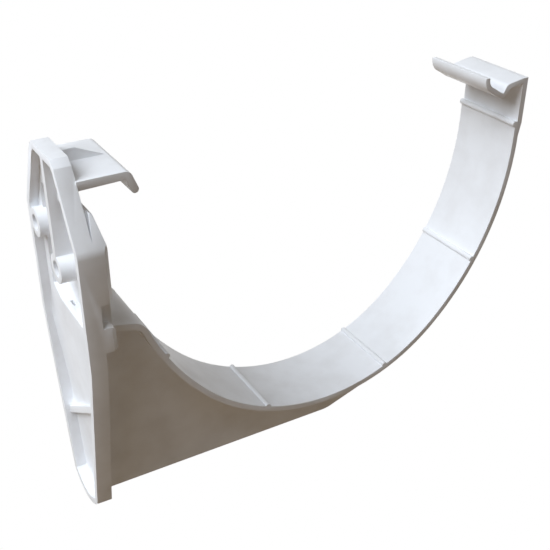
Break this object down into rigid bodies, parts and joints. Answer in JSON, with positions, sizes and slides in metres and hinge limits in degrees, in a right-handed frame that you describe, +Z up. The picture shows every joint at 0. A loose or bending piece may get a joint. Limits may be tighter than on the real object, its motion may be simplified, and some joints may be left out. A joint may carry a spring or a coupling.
{
  "type": "gutter bracket",
  "caption": "White moulded fascia bracket that carries a deep-flow gutter in an open curved strap between a front clip and a rear tongue.",
  "frame": {"origin": "axis of the central fixing screw, at the face of the fascia board", "axes": "+X along the gutter, +Y away from the fascia board towards the gutter's front, +Z up as installed"},
  "size_m": [0.0352, 0.126, 0.0981],
  "materials": {
    "white_pvcu": "satin-gloss white rigid PVC-U, injection moulded"
  },
  "bodies": {
    "root": {"gutter_bracket": "white_pvcu"}
  },
  "joints": []
}
